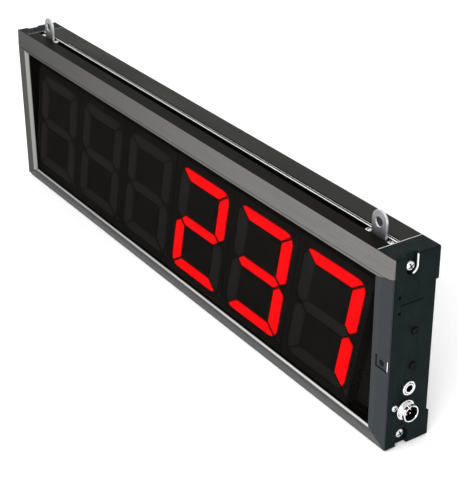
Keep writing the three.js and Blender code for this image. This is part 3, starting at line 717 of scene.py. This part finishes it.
def cross_screw(name, node, axis, flip, body="housing"):
    """Pan-head screw with a domed head and a cross recess, along one axis."""
    low, high = box_mm(node)
    index = "xyz".index(axis)
    head = min(high[i] - low[i] for i in range(3) if i != index) / 2
    tall = head * 0.72
    length = high[index] - low[index]
    shank = head * 0.42
    dome = []
    for degrees in range(0, 91, 10):
        t = math.radians(degrees)
        dome.append((head * math.sin(t), -tall * DOME_RISE * (1 - math.cos(t))))
    profile = [*dome, (head, -tall), (shank, -tall), (shank, -length + shank), (0, -length)]
    obj = place_object(name, lathe(profile, 40), [SLOT_OF[node]])
    slit, reach, deep = head * 0.15, head * 0.66, tall * 0.55
    cutter = bmesh.new()
    block(cutter, (-slit, -reach, -deep), (slit, reach, 1))
    carve(obj, cutter)
    cutter = bmesh.new()
    block(cutter, (-reach, -slit, -deep), (reach, slit, 1))
    carve(obj, cutter)
    rounded(obj, head * 0.03, 1, 40)
    # painted shade: the faces inside the cross recess take the black plastic
    obj.data.materials.append(LOOKS["black"])
    for face in obj.data.polygons:
        spot = face.center / MM
        off_axis = math.hypot(spot.x, spot.y)
        dome_top = -tall * DOME_RISE * (1 - math.sqrt(max(0.0, 1 - (off_axis / head) ** 2)))
        if off_axis < reach and -deep - 0.1 < spot.z < dome_top - head * 0.05:
            face.material_index = 1
    centre = (low + high) / 2
    centre[index] = low[index] if flip else high[index]
    turn = AXIS_TURN[axis].to_4x4()
    if flip:
        turn = turn @ Matrix.Rotation(math.pi, 4, "X")
    obj.data.transform(Matrix.Translation(centre * MM) @ turn @ Matrix.Rotation(SCREW_TURN, 4, "Z"))
    return finish_piece(obj, node, body=body)


LUG_HOLE = 3.25
LUG_HOLE_HEIGHT = 10.1
COUNTERSINK = 1.0


def hanger_plate(place):
    """Lug with a countersunk hole on a shoe: the shoe and the hole's wall are black as painted shade, and the
    stamped rim takes the bright plate as a painted highlight over darker faces.
    """
    node = f"hanger_{place}"
    obj = place_object(f"{place}_hanger_plate", copied(node), ["lug", "steel", "black"])
    low, high = box_mm(node)
    middle = Vector(((low.x + high.x) / 2, (low.y + high.y) / 2, HEIGHT + LUG_HOLE_HEIGHT))
    for side in (-1, 1):
        cone_top = COUNTERSINK * 0.75 + 0.1
        cone = [(0, -0.1), (LUG_HOLE - 0.1, -0.1), (LUG_HOLE + COUNTERSINK + 0.2, cone_top), (0, cone_top)]
        cutter = lathe(cone, 40)
        turn = Matrix.Rotation(math.radians(90 if side < 0 else -90), 4, "X")
        bmesh.ops.transform(cutter, matrix=turn, verts=cutter.verts)
        bmesh.ops.translate(cutter, vec=middle + Vector((0, side * 0.4, 0)), verts=cutter.verts)
        carve(obj, cutter)
    obj = rounded(obj, 0.25, 3)
    # Painted light and shade: the shoe and the hole's wall black, the rim bright.
    for face in obj.data.polygons:
        centre, normal = face.center / MM, face.normal
        from_hole = math.hypot(centre.x - middle.x, centre.z - middle.z)
        in_hole = from_hole < LUG_HOLE + 0.1 and abs(normal.y) < 0.5
        if centre.z < HEIGHT - 0.5 or in_hole:
            face.material_index = 2
        elif abs(normal.y) < 0.9 and (from_hole > LUG_HOLE + COUNTERSINK + 0.5 or normal.z < 0):
            face.material_index = 1
    return finish_piece(obj, node, body=f"{place}_hanger")


for level in ("top", "bottom"):
    cross_screw(f"right_{level}_screw", f"end_screw_right_{level}", "x", False)
    cross_screw(f"left_{level}_screw", f"end_screw_left_{level}", "x", True)
cross_screw("board_screw_head", "board_screw", "x", False)
for place in ("left", "right"):
    for side in ("outer", "inner"):
        node = f"clamp_screw_{place}_{side}"
        cross_screw(f"{place}_{side}_foot_screw", node, "z", False, f"{place}_hanger")
    hanger_plate(place)


# ------------------------------------------------------------------ connectors and buttons
FOOT = {"from": 0.3, "to": 2.2, "radius": 8.2}  # flange of the sensor socket, from the end cap's face
BARREL = {"radius": 7.1, "bore": 5.8, "floor": 1.4}
NECK = {"radius": 5.6, "bore": 4.4}
THREAD = {"pitch": 1.0, "tooth": 0.42}
KEYWAY = {"half": 1.1, "long": 3.2}
PIN_RADIUS = 0.78
RING = {"outer": 5.8, "inner": 4.3}  # ring nut of the power jack
BUTTON = {"radius": 2.95, "flange": 4.1, "step": 1.3}


def socket_shell():
    """Threaded barrel of the sensor socket, with a flanged foot and a keyed mouth."""
    node = "sensor_socket_shell"
    low, high = box_mm(node)
    centre = Vector((0, (low.y + high.y) / 2, (low.z + high.z) / 2))
    wall_face, foot, rim = END + FOOT["from"], END + FOOT["to"], high.x
    flange, barrel, bore = FOOT["radius"], BARREL["radius"], BARREL["bore"]
    neck, neck_bore = NECK["radius"], NECK["bore"]
    bore_floor = END + BARREL["floor"]
    root = barrel - THREAD["tooth"]
    thread = []
    x = foot + 0.9
    while x + THREAD["pitch"] < rim - 1.0:
        thread += [(root, x), (root, x + 0.15), (barrel, x + 0.45), (barrel, x + 0.6)]
        x += THREAD["pitch"]
    profile = [
        (neck_bore, low.x), (neck, low.x), (neck, wall_face), (flange - 0.3, wall_face),
        (flange, wall_face + 0.3), (flange, foot - 0.5), (flange - 0.5, foot), (barrel - 0.6, foot),
        (barrel - 0.6, foot + 0.7), *thread, (barrel - 0.3, rim - 1.0), (barrel - 0.3, rim - 0.3),
        (barrel - 0.6, rim), (bore + 0.2, rim), (bore, rim - 0.3), (bore, bore_floor),
        (neck_bore, bore_floor), (neck_bore, low.x),
    ]
    obj = place_object("sensor_socket_barrel", turned(lathe(profile, 64), "x", centre), ["chrome", "black"])
    bm = bmesh.new()
    bm.from_mesh(obj.data)
    bmesh.ops.remove_doubles(bm, verts=bm.verts, dist=1e-7)
    bmesh.ops.recalc_face_normals(bm, faces=bm.faces)
    bm.to_mesh(obj.data)
    bm.free()
    cutter = bmesh.new()
    near_corner = (rim - KEYWAY["long"], centre.y - KEYWAY["half"], centre.z + bore - 0.6)
    far_corner = (rim + 1, centre.y + KEYWAY["half"], centre.z + bore + 0.7)
    block(cutter, near_corner, far_corner)
    carve(obj, cutter)
    for face in obj.data.polygons:
        spot = face.center / MM - centre
        if math.hypot(spot.y, spot.z) < bore + 0.05 and spot.x < rim - 0.4:
            face.material_index = 1
    return finish_piece(smooth(obj, 30), node)


def pins():
    for number in range(1, 5):
        node = f"sensor_socket_pin_{number}"
        low, high = box_mm(node)
        centre = Vector((0, (low.y + high.y) / 2, (low.z + high.z) / 2))
        r = PIN_RADIUS
        tip = []
        for degrees in range(0, 91, 15):
            t = math.radians(degrees)
            tip.append((r * math.sin(t), high.x - r * (1 - math.cos(t))))
        profile = [*tip, (r, low.x + 0.3), (r - 0.2, low.x), (0, low.x)]
        obj = place_object(f"sensor_pin_{number}", turned(lathe(profile, 20), "x", centre), ["brass"])
        finish_piece(smooth(obj), node)


def jack_ring():
    """Ring nut of the power jack, chamfered, with two spanner notches."""
    node = "power_jack_nut"
    low, high = box_mm(node)
    centre = Vector((0, (low.y + high.y) / 2, (low.z + high.z) / 2))
    outer, inner = RING["outer"], RING["inner"]
    profile = [
        (inner, low.x), (outer, low.x), (outer, high.x - 0.5), (outer - 0.5, high.x), (inner + 0.35, high.x),
        (inner, high.x - 0.35), (inner, low.x),
    ]
    bm = turned(lathe(profile, 48), "x", centre)
    bmesh.ops.remove_doubles(bm, verts=bm.verts, dist=1e-4)
    obj = place_object("power_jack_ring", bm, ["chrome"])
    for side in (-1, 1):
        cutter = bmesh.new()
        middle = centre.z + side * (outer + inner) / 2
        block(cutter, (high.x - 0.7, centre.y - 0.6, middle - 1), (high.x + 1, centre.y + 0.6, middle + 1))
        carve(obj, cutter)
    return finish_piece(smooth(obj, 30), node)


def button(place):
    """Push-button cap with a soft dished top."""
    node = f"{place}_button"
    low, high = box_mm(node)
    centre = Vector((0, (low.y + high.y) / 2, (low.z + high.z) / 2))
    r, flange, step = BUTTON["radius"], BUTTON["flange"], low.x + BUTTON["step"]
    profile = [
        (0, high.x - 0.35), (r * 0.35, high.x - 0.32), (r * 0.62, high.x - 0.16), (r * 0.82, high.x),
        (r * 0.93, high.x - 0.06), (r, high.x - 0.35), (r, step), (flange, step),
        (flange, low.x), (0, low.x),
    ]
    obj = place_object(f"{place}_button_cap", turned(lathe(profile, 40), "x", centre), ["black"])
    return finish_piece(smooth(obj, 40), node, body=f"{place}_push_button")


TILE = {"sunk": 0.5, "frame": 1.2, "bar": 0.8}
EYE = {"radius": 2.7, "shift": 0.3}


def infrared_tile():
    """Grey tile on a black back block that shows round it as painted shadow, widest on the left and lower
    edges, with a black dome and a bar on its outer edge painted bright as a highlight.
    """
    node = "infrared_window"
    low, high = box_mm(node)
    front = FRONT + TILE["sunk"]
    edge, bar = TILE["frame"], TILE["bar"]
    bm = bmesh.new()
    block(bm, (low.x, high.y - 0.4, low.z), (high.x, high.y, high.z))
    shadow_frame_faces = len(bm.faces)
    block(bm, (low.x + edge, front, low.z + edge), (high.x - bar - 0.5, high.y - 0.3, high.z - 0.3))
    tile_faces = len(bm.faces)
    block(bm, (high.x - bar, front - 0.1, low.z + 0.8), (high.x, high.y - 0.3, high.z - 1.0))
    # painted shadow from the black back block round the tile; painted highlight on the bar
    for i, face in enumerate(bm.faces):
        face.material_index = 0 if i < shadow_frame_faces else 1 if i < tile_faces else 2
    obj = rounded(place_object("infrared_tile", bm, ["black", "bezel", "painted_glint"]), 0.12, 2)
    finish_piece(obj, node)
    radius, tall = EYE["radius"], front - low.y + 0.1
    dome = [(radius * math.cos(t), tall * math.sin(t)) for t in map(math.radians, range(0, 91, 10))]
    eye = turned(lathe([(0, -0.2), (radius, -0.2), *dome[:-1], (0, tall)], 32), "y", (0, 0, 0))
    centre = Vector(((low.x + high.x) / 2 - EYE["shift"], front, (low.z + high.z) / 2))
    bmesh.ops.rotate(eye, matrix=Matrix.Rotation(math.pi, 3, "Z"), verts=eye.verts)
    bmesh.ops.translate(eye, vec=centre, verts=eye.verts)
    obj = smooth(place_object("infrared_dome", eye, ["black"]), 40)
    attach(obj, "housing")


socket_shell()
pins()
jack_ring()
button("upper")
button("lower")
plain_copy("sensor_socket_insulator", "disc", 0.2)
plain_copy("sensor_socket_nut", "hex", 0.25)
jack = plain_copy("power_jack_body", "moulding", 0.15)
jack.data.materials.append(LOOKS["chrome"])
for face in jack.data.polygons:
    outer_ring = face.center.x / MM > END + 0.5 and (face.normal.x > 0.3 or face.center.x / MM > END + 1.5)
    face.material_index = 1 if outer_ring else 0
infrared_tile()


# ------------------------------------------------------------------ the rest keep their CAD shapes
for name, obj in NODES.items():
    look = LOOKS["mask" if name == "main_board" else SLOT_OF[name]]
    if obj.data.materials:
        for i in range(len(obj.data.materials)):
            obj.data.materials[i] = look
    else:
        obj.data.materials.append(look)


# ------------------------------------------------------------------ floor and light
FLOOR_DROP = 0.6  # the floor lies this far under the housing
FLOOR_HALF = 6000


def add_floor():
    bm = bmesh.new()
    bmesh.ops.create_grid(bm, x_segments=1, y_segments=1, size=FLOOR_HALF)
    bmesh.ops.translate(bm, vec=(0, 0, -FLOOR_DROP), verts=bm.verts)
    s = Shader("floor_paint")
    s.set(Specular_IOR_Level=0.1)
    tone = s.ramp(s.noise(3, 3), [(0.3, 0.95), (0.7, 0.97)])
    LOOKS["floor"] = s.finish(tone, s.ramp(s.noise(8, 3), [(0.3, 0.7), (0.7, 0.9)]))
    floor = place_object("floor", bm, ["floor"])


def area_light(name, place, aim, size, power, colour=(1, 1, 1)):
    data = bpy.data.lights.new(name, "AREA")
    data.shape = "RECTANGLE"
    data.size, data.size_y = size
    data.energy = power
    data.color = colour
    lamp = bpy.data.objects.new(name, data)
    lamp.location = place
    lamp.rotation_mode = "QUATERNION"
    lamp.rotation_quaternion = (Vector(aim) - Vector(place)).to_track_quat("-Z", "Y")
    bpy.context.scene.collection.objects.link(lamp)


def add_world():
    world = bpy.data.worlds.new("studio")
    world.use_nodes = True
    background = world.node_tree.nodes["Background"]
    background.inputs["Color"].default_value = (1, 1, 1, 1)
    background.inputs["Strength"].default_value = 1.1
    bpy.context.scene.world = world


add_floor()
add_world()
area_light("key", (1.3, -1.5, 1.0), (0.1, 0, 0.08), (1.0, 1.0), 28)
area_light("front", (-0.5, -1.9, 1.3), (-0.1, -0.3, 0), (1.6, 1.0), 22)
bpy.context.scene.view_settings.view_transform = "Standard"
